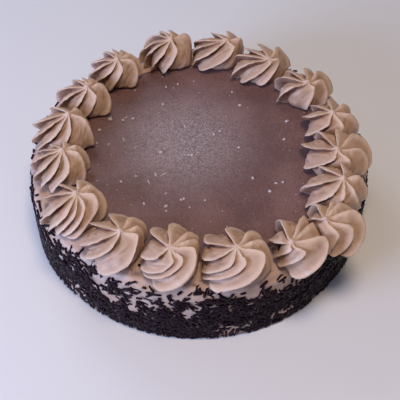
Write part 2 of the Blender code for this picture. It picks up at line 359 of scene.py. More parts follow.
def coatProfile():
    bed = glaze["radius"] + clearance
    shoulder = coat["radius"] - coat["edgeRound"]
    top = coat["height"]
    rows = [(bed, top - glaze["thickness"] - clearance)]
    rows += [(bed, top - 0.08 * mm), (bed + 0.15 * mm, top)]
    rows += [(reach, top) for reach in np.linspace(bed + 1.2 * mm, shoulder, 12)]
    for degrees in range(80, -1, -10):
        angle = math.radians(degrees)
        reach = shoulder + coat["edgeRound"] * math.cos(angle)
        rows.append((reach, top - coat["edgeRound"] * (1.0 - math.sin(angle))))
    foot = coat["footChamfer"]
    side = top - coat["edgeRound"] - foot
    for share in np.linspace(0.03, 1.0, coat["sideRings"]):
        rows.append((coat["radius"] + coat["footSpread"] * share, foot + side * (1 - share)))
    rows.append((coat["radius"] + coat["footSpread"] - foot * 0.6, 0.45 * mm))
    rows.append((coat["radius"] + coat["footSpread"] - foot, 0.0))
    return rows


strandCover = {
    # by bearing in degrees, how high in mm they are thick and how high clumps go
    "edge": (
        (-180, 29, 42), (-144, 25, 44), (-130, 29, 44), (-118, 21, 40), (-110, 20, 44),
        (-100, 22, 45), (-88, 25, 45), (-80, 32, 41), (-70, 34, 42), (-60, 32, 38),
        (-30, 34, 41), (10, 31, 43), (60, 34, 41), (100, 28, 44), (140, 33, 41),
        (180, 29, 42),
    ),
    "ragged": (7 * mm, 9 * mm),  # size and rise of the ragged edge
    "clumpSize": 6 * mm,
    "clumpShare": 0.85,
    "strayShare": 0.03,
    "strayTop": 44.5 * mm,
    # sparse patches: bearing, height, then half the width and the height in mm
    "patches": (
        (-133, 9, 9, 8), (-78, 7, 14, 4.5), (-62, 9, 9, 4), (35, 8, 12, 5), (150, 10, 10, 6),
    ),
    "patchShare": 0.72,
}


# degrees from one bearing to others, the short way round
def aroundTo(bearings, bearing):
    apart = bearings - math.radians(bearing)
    return np.degrees(np.arctan2(np.sin(apart), np.cos(apart)))


# where strands stick: thick low down, a ragged edge near the top, few above
def coverOf(points):
    bearings = np.arctan2(points[..., 1], points[..., 0])
    table = np.array(strandCover["edge"], dtype=float)
    thick = np.interp(np.degrees(bearings), table[:, 0], table[:, 1]) * mm
    loose = np.interp(np.degrees(bearings), table[:, 0], table[:, 2]) * mm
    size, rise = strandCover["ragged"]
    height = points[..., 2] + rise * roughness(points * np.array((1.0, 1.0, 0.5)), size, 40.0, 3)
    clumps = ease(-0.14, 0.26, roughness(points, strandCover["clumpSize"], 43.0, 2))
    full = 1.0 - ease(thick - 3 * mm, thick + 3 * mm, height)
    sparse = 1.0 - ease(loose - 5 * mm, loose + 1 * mm, height)
    cover = np.maximum(full, strandCover["clumpShare"] * clumps * sparse)
    strays = points[..., 2] < strandCover["strayTop"]
    cover = np.maximum(cover, strandCover["strayShare"] * strays)
    for bearing, middle, wide, tall in strandCover["patches"]:
        across = np.radians(aroundTo(bearings, bearing)) * coat["radius"] / (wide * mm)
        upward = (points[..., 2] - middle * mm) / (tall * mm)
        cover = cover * (1.0 - strandCover["patchShare"] * np.exp(-(across**2) - upward**2))
    return np.clip(cover, 0.0, 1.0)


def makeBody():
    rows = np.array(coatProfile())
    bearings = np.linspace(0.0, tau, coat["columns"], endpoint=False)
    reach = np.repeat(rows[:, 0][:, None], coat["columns"], axis=1)
    height = np.repeat(rows[:, 1][:, None], coat["columns"], axis=1)
    share = ease(glaze["radius"] + 2 * coat["edgeRound"], coat["radius"] - coat["edgeRound"], reach)
    reach = reach + share * coatBulge(bearings)[None, :]
    points = np.stack((reach * np.cos(bearings), reach * np.sin(bearings), height), axis=-1)
    # marks only ever dig into the coat, so its size stays as it is
    dents = roughness(points * np.array((1.0, 1.0, 3.0)), coat["dents"][0], 1.0)
    grain = roughness(points * np.array((1.0, 1.0, 2.0)), coat["grain"][0], 2.0)
    # strokes of the palette knife run round the cake
    alongX, alongY = 25 * mm * np.cos(bearings), 25 * mm * np.sin(bearings)
    stretched = np.stack((alongX + 0 * reach, alongY + 0 * reach, reach - height), axis=-1)
    strokes = roughness(stretched, coat["strokes"][0], 3.0, 2)
    marks = coat["digShare"] + coat["dents"][1] * dents + coat["grain"][1] * grain
    dig = np.clip(marks + coat["strokes"][1] * strokes, 0.0, 1.6) * coat["dig"]
    onSide = ease(glaze["radius"] + 3 * mm, coat["radius"] - 4 * mm, reach)
    onTop = ease(coat["height"] - coat["edgeRound"], coat["height"] - 0.5 * mm, height)
    inBed = reach < glaze["radius"] + 0.6 * mm
    pull = dig * onSide * ease(0.0, 4 * mm, height)
    points[..., 0] -= pull * np.cos(bearings)
    points[..., 1] -= pull * np.sin(bearings)
    points[..., 2] -= np.where(inBed, 0.0, dig * onTop * 0.6)
    bedFloor = coat["height"] - glaze["thickness"] - clearance
    mesh = ringMesh("icedBody", points, (0.0, 0.0, bedFloor), (0.0, 0.0, 0.0))
    # painted shade in the knife marks, darker where they dig deeper
    addValues(mesh, "crease", np.clip(dig / mm - 0.25, 0.0, 1.0) * 0.3 * onSide)
    # painted shade among the crowded side strands, darkest where they cover most
    addValues(mesh, "smear", 0.85 * ease(0.5, 1.0, coverOf(points)) * onSide)
    return addObject("icedBody", mesh, coatCream), points


icedBody, coatPoints = makeBody()
print("coat made")


# a thin disc in the coat's bed, its rim turned down to the bed's floor
def makeGlaze():
    inner = np.linspace(1.2 * mm, glaze["radius"] - 0.5 * mm, glaze["rows"])
    reaches = np.append(inner, glaze["radius"] + 0.1 * mm)
    bearings = np.linspace(0.0, tau, glaze["columns"], endpoint=False)
    points = np.zeros((len(reaches), len(bearings), 3))
    points[..., 0] = reaches[:, None] * np.cos(bearings)
    points[..., 1] = reaches[:, None] * np.sin(bearings)
    dips = 0.16 + glaze["dips"][1] * roughness(points, glaze["dips"][0], 5.0)
    dips = dips + glaze["ripples"][1] * roughness(points, glaze["ripples"][0], 6.0)
    points[..., 2] = coat["height"] - np.clip(dips, 0.0, 0.6) * glaze["dipDepth"]
    rim = np.zeros((len(bearings), 3))
    rim[:, 0] = (glaze["radius"] + clearance - 0.03 * mm) * np.cos(bearings)
    rim[:, 1] = (glaze["radius"] + clearance - 0.03 * mm) * np.sin(bearings)
    rim[:, 2] = coat["height"] - 0.1 * mm
    foot = rim.copy()
    foot[:, 2] = coat["height"] - glaze["thickness"]
    points = np.concatenate((points, rim[None], foot[None]))
    hub = (0.0, 0.0, float(points[0, :, 2].mean()))
    mesh = ringMesh("glazeDisc", points, hub, (0.0, 0.0, coat["height"] - glaze["thickness"]))
    return addObject("glazeDisc", mesh, glazeFinish)


glazeDisc = makeGlaze()
print("glaze made")


# one row for each rosette: in mm its middle, its widths along x and y and its tip's
# shift, and how the tip ends, from -1 for a small hole to 1 for a fine point; then for
# each ridge its bearing at the tip, its bearing at the hem and how strongly it stands out
rosetteRows = (
    (
        (-20.0, 88.7), (36.9, 31.3), (1.8, 1.0), 0.6,
        (20, 75, 100, 125, 185, 212, 243, 278),
        (-24, 56, 103, 155, 187, 210, 229, 253),
        (1.0, 0.91, 0.96, 0.82, 1.0, 1.14, 1.05, 0.98),
    ),
    (
        (12.9, 88.2), (40.9, 29.0), (6.0, 0.5), 0.4,
        (-5, 50, 95, 160, 200, 240, 295),
        (4, 23, 82, 130, 165, 201, 231),
        (1.07, 1.05, 0.82, 0.88, 1.07, 1.0, 0.99),
    ),
    (
        (40.6, 75.8), (36.8, 29.0), (6.0, -6.0), -0.5,
        (20, 80, 125, 170, 222, 280, 312),
        (1, 32, 81, 149, 203, 226, 266),
        (1.14, 0.96, 0.82, 1.07, 1.14, 0.97, 1.0),
    ),
    (
        (68.1, 51.7), (32.6, 29.0), (2.3, -6.0), 0.8,
        (20, 70, 120, 160, 215, 285, 335),
        (-13, 46, 102, 155, 204, 269, 313),
        (1.14, 0.96, 0.88, 1.14, 1.14, 0.93, 1.0),
    ),
    (
        (83.1, 17.4), (31.0, 33.0), (0.4, 0.6), 0.2,
        (-20, 30, 80, 130, 175, 235, 290),
        (-9, 35, 66, 112, 135, 186, 276),
        (0.97, 1.0, 1.01, 1.14, 1.13, 0.94, 0.82),
    ),
    (
        (83.5, -9.3), (39.4, 38.0), (-0.3, -4.5), 0.3,
        (30, 72, 115, 175, 240, 283, 340),
        (-26, 43, 111, 132, 190, 275, 317),
        (1.0, 1.02, 1.14, 1.05, 0.88, 0.82, 0.85),
    ),
    (
        (80.1, -37.6), (33.6, 37.0), (4.0, 0.7), 0.5,
        (-8, 60, 120, 180, 230, 265, 300),
        (-13, 41, 95, 165, 197, 243, 327),
        (1.02, 1.0, 0.85, 1.08, 1.06, 0.82, 0.82),
    ),
    (
        (75.6, -66.3), (31.0, 31.1), (-5.0, -1.5), 0.3,
        (0, 45, 68, 112, 165, 265, 312),
        (-75, 7, 65, 126, 175, 246, 260),
        (1.25, 1.06, 1.0, 1.13, 0.99, 0.85, 0.88),
    ),
    (
        (56.9, -77.4), (32.2, 32.4), (-6.0, -6.0), 0.3,
        (-30, 30, 62, 120, 188, 225, 265),
        (-115, -2, 64, 128, 154, 194, 212),
        (1.28, 0.98, 1.0, 1.14, 1.14, 0.82, 0.85),
    ),
    (
        (19.4, -86.4), (42.0, 34.6), (1.5, -0.6), -1.0,
        (-40, 5, 40, 92, 154, 210, 250, 280),
        (-128, -17, 29, 54, 96, 133, 184, 200),
        (1.32, 1.1, 1.03, 0.95, 1.02, 0.85, 0.78, 0.82),
    ),
    (
        (-14.6, -84.1), (33.8, 36.1), (-0.5, -2.8), -1.0,
        (-35, 0, 22, 78, 130, 215, 265, 293),
        (-124, 2, 20, 49, 90, 129, 180, 196),
        (1.32, 1.0, 1.01, 0.95, 1.0, 0.9, 0.78, 0.82),
    ),
    (
        (-46.3, -75.3), (35.7, 32.7), (3.9, -0.8), 0.4,
        (-40, 0, 38, 90, 141, 205, 252),
        (-118, -15, 15, 46, 109, 165, 196),
        (1.32, 0.94, 1.05, 1.0, 0.95, 0.88, 0.85),
    ),
    (
        (-72.6, -51.5), (34.3, 31.5), (3.5, 3.1), 0.6,
        (-16, 25, 60, 110, 160, 215, 250, 273, 300),
        (-95, -22, 35, 88, 140, 200, 220, 237, 251),
        (1.15, 1.14, 1.14, 1.0, 0.98, 1.14, 1.0, 0.85, 0.85),
    ),
    (
        (-82.6, -18.6), (32.6, 30.5), (2.0, 4.2), 0.2,
        (-12, 22, 66, 110, 146, 180, 218, 252, 288),
        (-39, 9, 41, 73, 118, 166, 202, 224, 248),
        (0.85, 1.0, 0.9, 0.85, 0.98, 1.09, 1.02, 0.96, 1.01),
    ),
    (
        (-82.9, 10.9), (36.5, 36.0), (2.7, 5.6), 0.4,
        (-15, 45, 110, 170, 205, 240, 277),
        (-27, 52, 120, 150, 186, 208, 251),
        (0.91, 0.89, 1.08, 1.14, 1.02, 1.0, 0.82),
    ),
    (
        (-73.6, 40.3), (31.8, 29.0), (3.0, 1.0), 0.7,
        (8, 55, 80, 105, 160, 205, 250, 300),
        (-40, 38, 79, 123, 162, 201, 230, 261),
        (1.0, 1.01, 0.95, 0.91, 1.06, 1.07, 0.82, 0.82),
    ),
    (
        (-55.2, 69.2), (31.0, 29.0), (1.9, -0.3), 0.3,
        (-20, 20, 52, 82, 110, 170, 205, 245, 277),
        (-52, -2, 38, 80, 121, 144, 186, 205, 253),
        (0.96, 1.01, 0.97, 0.94, 0.91, 0.96, 1.1, 1.02, 1.0),
    ),
)

piping = {
    "height": 18.5 * mm,
    "margin": 0.8 * mm,
    "bellyShare": 0.26,
    "tipShare": 0.15,
    "tipWidth": 0.15,
    "undercut": math.radians(122),
    "ridgeDepth": 7.0 * mm,
    "ridgeCore": 0.78,
    "tipDepth": 0.14,  # share of the depth that is left at the tip
    "hemLoss": 0.55,  # share that goes under the hem
    "slopeShare": 0.62,
    "fillShare": 0.15,  # how far wide gaps between ridges are filled
    "finThickness": 0.80 * mm,
    "finRise": 0.6,
    "lean": 0.60,
    "leanLoss": 0.6,
    "sweepStart": math.radians(35),
    "hem": math.radians(106),
    "touchStart": 0.8,
    "columns": 26,  # to each ridge
    "rings": 54,
    # size and height of each unevenness
    "lumps": (4.5 * mm, 0.36 * mm),
    "tears": (1.6 * mm, 0.26 * mm),
    "sway": (3.2 * mm, 0.42 * mm),
    "streaks": (1.7 * mm, 0.75 * mm),
}


# beyond a start, distances crowd up to the limit without passing it
def pressed(distance, limit):
    start = limit * piping["touchStart"]
    room = limit - start
    beyond = np.maximum(distance - start, 0.0)
    return np.where(distance <= start, distance, limit - room * np.exp(-beyond / room))


# the planes where a rosette meets the one before it and the one after it
def touchingPlanes(index):
    row = rosetteRows[index]
    planes = []
    for step in (-1, 1):
        other = rosetteRows[(index + step) % len(rosetteRows)]
        way = (np.array(other[0]) - np.array(row[0])) * mm
        gap = float(np.hypot(*way))
        share = sum(row[1]) / (sum(row[1]) + sum(other[1]))
        planes.append((way / gap, gap * share - clearance / 2))
    return planes


# bearings of a rosette's ridges, with the first one again at the end
def around(bearings):
    turns = np.radians(np.array(bearings, dtype=float))
    return np.append(turns, turns[0] + tau)


# how far out and how high a rosette's dome lies, by the angle from its tip
def domeCurve(angle, core):
    belly = piping["bellyShare"] * piping["height"]
    tip = piping["tipShare"] * piping["height"]
    dome = piping["height"] - belly - tip
    under = angle > math.pi / 2
    reach = np.where(under, core * np.sin(angle) ** 0.8, core * np.sin(angle))
    height = np.where(
        under,
        belly - belly * np.cos(angle) / math.cos(piping["undercut"]),
        belly + dome * np.maximum(np.cos(angle), 0.0) ** 0.95,
    )
    return reach, height + tip * np.exp(-((reach / (piping["tipWidth"] * core)) ** 1.2))


def rosettePoints(index):
    middle, widths, tipShift, tipEnd, starts, ends, strengths = rosetteRows[index]
    count = len(starts)
    starts, ends = around(starts), around(ends)
    strengths = np.append(strengths, strengths[0])
    mean = sum(widths) / 2
    radius = mean * mm / 2 + piping["margin"]

    # columns lie closest at the crests
    steps = np.arange(piping["columns"]) / piping["columns"]
    across = np.tile(0.55 * steps + 0.45 * (1.0 - np.cos(math.pi * steps)) / 2, count)[None, :]
    ridge = np.repeat(np.arange(count), piping["columns"])
    onward = ease(0.2, 0.8, across)
    strength = strengths[ridge] * (1.0 - onward) + strengths[ridge + 1] * onward

    angle = np.linspace(math.radians(1.0), piping["undercut"], piping["rings"])[:, None]
    reach, height = domeCurve(angle, radius - piping["ridgeCore"] * piping["ridgeDepth"])
    fullDepth = easeDegrees(3, 42, angle)
    depth = piping["ridgeDepth"] * (piping["tipDepth"] + (1 - piping["tipDepth"]) * fullDepth)
    depth = depth * (1.0 - piping["hemLoss"] * ease(math.radians(95), piping["undercut"], angle))

    # each ridge sweeps from its bearing at the tip to its own bearing at the hem
    sweepRoom = piping["hem"] - piping["sweepStart"]
    sweep = np.clip((angle - piping["sweepStart"]) / sweepRoom, 0.0, 1.0) ** 1.3
    crests = starts[None, :] * (1.0 - sweep) + ends[None, :] * sweep
    gap = (crests[:, 1:] - crests[:, :-1])[:, ridge]

    # a long slope climbs to a thin crest, and past it the cream drops steeply
    away = np.minimum(across, 1.0 - across) * gap * np.maximum(reach, 1.0 * mm)
    fin = 1.0 / (1.0 + (away / piping["finThickness"]) ** 2.4)
    climb = np.clip((across - 0.07) / 0.93, 0.0, 1.0) ** 0.85
    filled = piping["fillShare"] * easeDegrees(50, 110, gap) * np.sin(math.pi * across)
    slope = piping["slopeShare"] * climb + filled
    crest = slope + (1.0 - slope) * fin

    # fine grooves run along the folds, as the nozzle's teeth draw them
    flow = np.zeros((*gap.shape, 3))
    flow[..., 0] = across * gap * reach
    flow[..., 1] = 4 * mm * angle
    flow[..., 2] = 9 * mm * ridge
    streaks = roughness(flow, piping["streaks"][0], 70.0 + index, 2)
    streaks = streaks * np.sin(math.pi * across) * ease(0.15, 0.7, angle)

    wander = 1.0 + 0.10 * np.sin(3.1 * angle + 5.0 * ridge + index)
    rise = depth * strength * crest * wander + piping["streaks"][1] * streaks
    far = reach + rise * (0.25 + 0.75 * np.sin(angle))
    up = height + piping["finRise"] * rise * np.maximum(np.cos(angle), -0.15)
    up = up + tipEnd * 1.3 * mm * np.exp(-((reach / (1.1 * mm)) ** 2))
    lean = piping["lean"] * (1.0 - piping["leanLoss"] * easeDegrees(40, 88, angle))
    lean = lean * rise * crest / np.maximum(far, 1.2 * mm)
    bearing = crests[:, ridge] + gap * across + lean
    inward = 1.0 - ease(0.0, radius, far)
    points = np.zeros((*far.shape, 3))
    points[..., 0] = np.cos(bearing) * far * widths[0] / mean + tipShift[0] * mm * inward
    points[..., 1] = np.sin(bearing) * far * widths[1] / mean + tipShift[1] * mm * inward
    for way, limit in touchingPlanes(index):
        distance = points[..., 0] * way[0] + points[..., 1] * way[1]
        moved = pressed(distance, limit) - distance
        points[..., 0] += way[0] * moved
        points[..., 1] += way[1] * moved
    points[..., 0] += middle[0] * mm
    points[..., 1] += middle[1] * mm
    points[..., 2] = coat["height"] + clearance + np.maximum(up, 0.0)
    return points, crest, angle, away, across, streaks


# whatever would pass the solid model's outer size is eased back inside it
def keepInside(points):
    room = 0.8 * mm
    for axis, side, sign in ((0, 0, -1), (0, 1, 1), (1, 0, -1), (1, 1, 1), (2, 1, 1)):
        over = np.maximum(sign * (points[..., axis] - cadBounds[side][axis]) + room, 0.0)
        points[..., axis] -= sign * (over - 0.97 * room * (1.0 - np.exp(-over / room)))


# unevenness of one kind, by its size and height
def uneven(points, kind, seed):
    size, height = piping[kind]
    return height * roughness(points, size, seed, 2)


def makeRosette(index):
    points, crest, angle, away, across, streaks = rosettePoints(index)
    lumps = uneven(points, "lumps", 10.0 + index)
    tears = uneven(points, "tears", 30.0 + index)
    onCrest = np.clip(crest * 1.4 - 0.4, 0.0, 1.0)
    aboveHem = 1.0 - easeDegrees(104, 120, angle)
    points[..., 2] += (lumps + tears * onCrest) * aboveHem
    # crests wander a little to either side
    sway = uneven(points, "sway", 50.0 + index) * onCrest * aboveHem * ease(0.1, 0.5, angle)
    middle = points[-1].mean(axis=0)
    sideways = np.stack((middle[1] - points[..., 1], points[..., 0] - middle[0]), axis=-1)
    sideways /= np.maximum(np.hypot(sideways[..., 0], sideways[..., 1]), 1.0 * mm)[..., None]
    points[..., :2] += sideways * sway[..., None]
    keepInside(points)
    name = f"rosette{index + 1:02d}"
    mesh = ringMesh(name, points, points[0].mean(axis=0), points[-1].mean(axis=0))
    # painted shade: darkest a little past each crest's foot, fading on the lowest rings, and in the
    # grooves of the streaks; raised lumps add a little random darkening
    beside = away / piping["finThickness"]
    crease = np.exp(-(((beside - 2.2) / 1.5) ** 2)) * (1.0 - 0.35 * ease(1.2, 2.0, angle))
    crease = crease * (1.0 - ease(0.3, 0.6, across)) + 0.9 * np.clip(-streaks - 0.06, 0.0, 0.35)
    crease = crease + 0.25 * lumps / piping["lumps"][1]
    addValues(mesh, "crease", np.clip(crease, 0.0, 1.0))
    # painted highlight along the crests
    addValues(mesh, "edge", ease(0.62, 0.95, crest) * 0.75)
    return addObject(name, mesh, pipedCream)


rosettes = [makeRosette(index) for index in range(len(rosetteRows))]
print("rosettes piped")


strand = {
    "sides": 5,
    "rings": ((-0.5, 0.6), (-0.36, 1.0), (0.32, 1.0), (0.5, 0.6)),  # along it, and how thick
    "aboveFloor": 0.35 * mm,
    "proud": 1.0 * mm,
    "looseWidth": 1.55 * mm,
    "looseBend": 0.5 * mm,
    "looseLift": 0.45 * mm,
}
strandKinds = (
    {"name": "strandLong", "length": 6.6 * mm, "width": 1.6 * mm, "bend": 1.5 * mm},
    {"name": "strandMiddle", "length": 5.4 * mm, "width": 1.7 * mm, "bend": 0.0},
    {"name": "strandShort", "length": 3.8 * mm, "width": 1.6 * mm, "bend": 0.4 * mm},
    {"name": "strandThin", "length": 5.8 * mm, "width": 1.35 * mm, "bend": 2.4 * mm},
)


# a short rod along x, bent a little, that narrows at both ends
def strandParts(length, width, bend):
    sides = strand["sides"]
    points = []
    for along, share in strand["rings"]:
        sag = bend * (0.33 - 4 * along * along * 0.67)
        for side in range(sides):
            angle = tau * side / sides
            reach = share * width / 2
            points.append((along * length, sag + math.cos(angle) * reach, math.sin(angle) * reach))
    faces = []
    for ring in range(len(strand["rings"]) - 1):
        for side in range(sides):
            after = (side + 1) % sides
            low, high = ring * sides, (ring + 1) * sides
            faces.append((low + side, low + after, high + after, high + side))
    faces.append(tuple(reversed(range(sides))))
    faces.append(tuple(range(len(points) - sides, len(points))))
    return np.array(points), faces


def partsMesh(name, points, faces):
    mesh = bpy.data.meshes.new(name)
    mesh.from_pydata([tuple(point) for point in points], [], faces)
    turnOutward(mesh)
    mesh.shade_smooth()
    return mesh


def kindsCollection(name, meshes):
    kinds = bpy.data.collections.new(name)
    for mesh in meshes:
        kinds.objects.link(bpy.data.objects.new(mesh.name, mesh))
    return kinds


def randomFloat(nodes, seed):
    value = nodes.new("FunctionNodeRandomValue")
    value.data_type = "FLOAT"
    value.inputs["Seed"].default_value = seed
    return value


# strews the kinds over a sheet: raised, spun, rocked and sized at random
def scatterTree():
    tree = bpy.data.node_groups.new("Scatter", "GeometryNodeTree")
    socket(tree, "Geometry", "INPUT", "NodeSocketGeometry")
    socket(tree, "Kinds", "INPUT", "NodeSocketCollection")
    socket(tree, "Density", "INPUT", "NodeSocketFloat", 100000.0)
    socket(tree, "Gap", "INPUT", "NodeSocketFloat", 0.001)
    socket(tree, "Seed", "INPUT", "NodeSocketInt", 1)
    socket(tree, "Lift Min", "INPUT", "NodeSocketFloat", 0.0)
    socket(tree, "Lift Max", "INPUT", "NodeSocketFloat", 0.0005)
    socket(tree, "Tilt", "INPUT", "NodeSocketFloat", 0.2)
    socket(tree, "Scale Min", "INPUT", "NodeSocketFloat", 0.85)
    socket(tree, "Scale Max", "INPUT", "NodeSocketFloat", 1.1)
    socket(tree, "Finish", "INPUT", "NodeSocketMaterial")
    socket(tree, "Geometry", "OUTPUT", "NodeSocketGeometry")
    nodes, links = tree.nodes, tree.links
    entry = nodes.new("NodeGroupInput")
    leave = nodes.new("NodeGroupOutput")
    scatter = nodes.new("GeometryNodeDistributePointsOnFaces")
    scatter.distribute_method = "POISSON"
    cover = nodes.new("GeometryNodeInputNamedAttribute")
    cover.data_type = "FLOAT"
    cover.inputs["Name"].default_value = "cover"
    info = nodes.new("GeometryNodeCollectionInfo")
    info.inputs["Separate Children"].default_value = True
    info.inputs["Reset Children"].default_value = True
    place = nodes.new("GeometryNodeInstanceOnPoints")
    place.inputs["Pick Instance"].default_value = True
    size = randomFloat(nodes, 3)
    spin = randomFloat(nodes, 5)
    spin.inputs[2].default_value = 0.0
    spin.inputs[3].default_value = tau
    rock = randomFloat(nodes, 9)
    lift = randomFloat(nodes, 7)
    negate = nodes.new("ShaderNodeMath")
    negate.operation = "MULTIPLY"
    negate.inputs[1].default_value = -1.0
    turns = nodes.new("ShaderNodeCombineXYZ")
    turnAround = nodes.new("GeometryNodeRotateInstances")
    turnAround.inputs["Local Space"].default_value = True
    raised = nodes.new("ShaderNodeCombineXYZ")
    move = nodes.new("GeometryNodeTranslateInstances")
    move.inputs["Local Space"].default_value = True
    tilts = nodes.new("ShaderNodeCombineXYZ")
    tip = nodes.new("GeometryNodeRotateInstances")
    tip.inputs["Local Space"].default_value = True
    realize = nodes.new("GeometryNodeRealizeInstances")
    paint = nodes.new("GeometryNodeSetMaterial")
    links.new(entry.outputs["Geometry"], scatter.inputs["Mesh"])
    links.new(entry.outputs["Gap"], scatter.inputs["Distance Min"])
    links.new(entry.outputs["Density"], scatter.inputs["Density Max"])
    links.new(cover.outputs["Attribute"], scatter.inputs["Density Factor"])
    links.new(entry.outputs["Seed"], scatter.inputs["Seed"])
    links.new(entry.outputs["Kinds"], info.inputs["Collection"])
    links.new(scatter.outputs["Points"], place.inputs["Points"])
    links.new(scatter.outputs["Rotation"], place.inputs["Rotation"])
    links.new(info.outputs[0], place.inputs["Instance"])
    links.new(entry.outputs["Scale Min"], size.inputs[2])
    links.new(entry.outputs["Scale Max"], size.inputs[3])
    links.new(size.outputs[1], place.inputs["Scale"])
    links.new(place.outputs["Instances"], move.inputs["Instances"])
    links.new(entry.outputs["Lift Min"], lift.inputs[2])
    links.new(entry.outputs["Lift Max"], lift.inputs[3])
    links.new(lift.outputs[1], raised.inputs["Z"])
    links.new(raised.outputs[0], move.inputs["Translation"])
    links.new(move.outputs["Instances"], turnAround.inputs["Instances"])
    links.new(spin.outputs[1], turns.inputs["Z"])
    links.new(turns.outputs[0], turnAround.inputs["Rotation"])
    links.new(entry.outputs["Tilt"], negate.inputs[0])
    links.new(negate.outputs[0], rock.inputs[2])
    links.new(entry.outputs["Tilt"], rock.inputs[3])
    links.new(rock.outputs[1], tilts.inputs["Y"])
    links.new(turnAround.outputs["Instances"], tip.inputs["Instances"])
    links.new(tilts.outputs[0], tip.inputs["Rotation"])
    links.new(tip.outputs["Instances"], realize.inputs["Geometry"])
    links.new(realize.outputs["Geometry"], paint.inputs["Geometry"])
    links.new(entry.outputs["Finish"], paint.inputs["Material"])
    links.new(paint.outputs["Geometry"], leave.inputs["Geometry"])
    return tree


scatterNodes = scatterTree()


def scattered(name, host, finish, values):
    helper = bpy.data.objects.new(name + "Host", host)
    bpy.context.scene.collection.objects.link(helper)
    modifier = helper.modifiers.new("Scatter", "NODES")
    modifier.node_group = scatterNodes
    values = {**values, "Finish": finish}
    for item in scatterNodes.interface.items_tree:
        if item.in_out == "INPUT" and item.name in values:
            modifier[item.identifier] = values[item.name]
    graph = bpy.context.evaluated_depsgraph_get()
    mesh = bpy.data.meshes.new_from_object(helper.evaluated_get(graph))
    mesh.name = name
    for spare in (helper, *values["Kinds"].objects):
        bpy.data.objects.remove(spare, do_unlink=True)
    bpy.data.collections.remove(values["Kinds"])
    item = bpy.data.objects.new(name, mesh)
    bpy.context.scene.collection.objects.link(item)
    return item


# an open sheet to scatter on, with how thickly it is covered
def bandMesh(points, cover):
    mesh = bpy.data.meshes.new("band")
    vertices = [tuple(point) for point in points.reshape(-1, 3)]
    mesh.from_pydata(vertices, [], bandFaces(*points.shape[:2]))
    addValues(mesh, "cover", cover)
    return mesh


# strands that would reach the floor or stand too proud are moved back
def tidyStrands(item):
    mesh = item.data
    places = np.zeros(len(mesh.vertices) * 3)
    mesh.vertices.foreach_get("co", places)
    places = places.reshape(-1, strand["sides"] * len(strand["rings"]), 3)
    lowest = places[..., 2].min(axis=1)
    places[..., 2] += np.maximum(strand["aboveFloor"] - lowest, 0.0)[:, None]
    reach = np.hypot(places[..., 0], places[..., 1])
    bearings = np.arctan2(places[..., 1], places[..., 0])
    limit = coat["radius"] + coatBulge(bearings) + strand["proud"] + coat["footSpread"] * 0.6
    over = np.maximum((reach - limit).max(axis=1), 0.0)
    middle = places.mean(axis=1)
    out = middle[:, :2] / np.hypot(middle[:, 0], middle[:, 1])[:, None]
    places[..., :2] -= (out * over[:, None])[:, None, :]
    for axis in (0, 1):
        under = cadBounds[0][axis] - places[..., axis].min(axis=1)
        places[..., axis] += np.maximum(under, 0.0)[:, None]
        above = places[..., axis].max(axis=1) - cadBounds[1][axis]
        places[..., axis] -= np.maximum(above, 0.0)[:, None]
    mesh.vertices.foreach_set("co", places.reshape(-1).astype(np.float32))
    mesh.update()
    return len(places)


strandMeshes = []
for kind in strandKinds:
    shape = strandParts(kind["length"], kind["width"], kind["bend"])
    strandMeshes.append(partsMesh(kind["name"], *shape))
# the coat's rings from just under its top edge to just over its foot
ringHeight = coatPoints[:, 0, 2]
ringReach = np.hypot(coatPoints[:, 0, 0], coatPoints[:, 0, 1])
onSide = (ringHeight > 1.0 * mm) & (ringHeight < coat["height"] - 0.6 * mm)
sideRings = coatPoints[onSide & (ringReach > glaze["radius"] + 4 * mm)]
sideStrands = scattered(
    "sideStrands",
    bandMesh(sideRings, coverOf(sideRings)),
    strandFinish,
    {
        "Kinds": kindsCollection("strandKinds", strandMeshes),
        "Density": 520000.0,
        "Gap": 1.28 * mm,
        "Seed": 11,
        "Lift Min": -0.25 * mm,
        "Lift Max": 0.75 * mm,
        "Tilt": 0.22,
        "Scale Min": 0.85,
        "Scale Max": 1.12,
    },
)
print("strands on the side", tidyStrands(sideStrands))

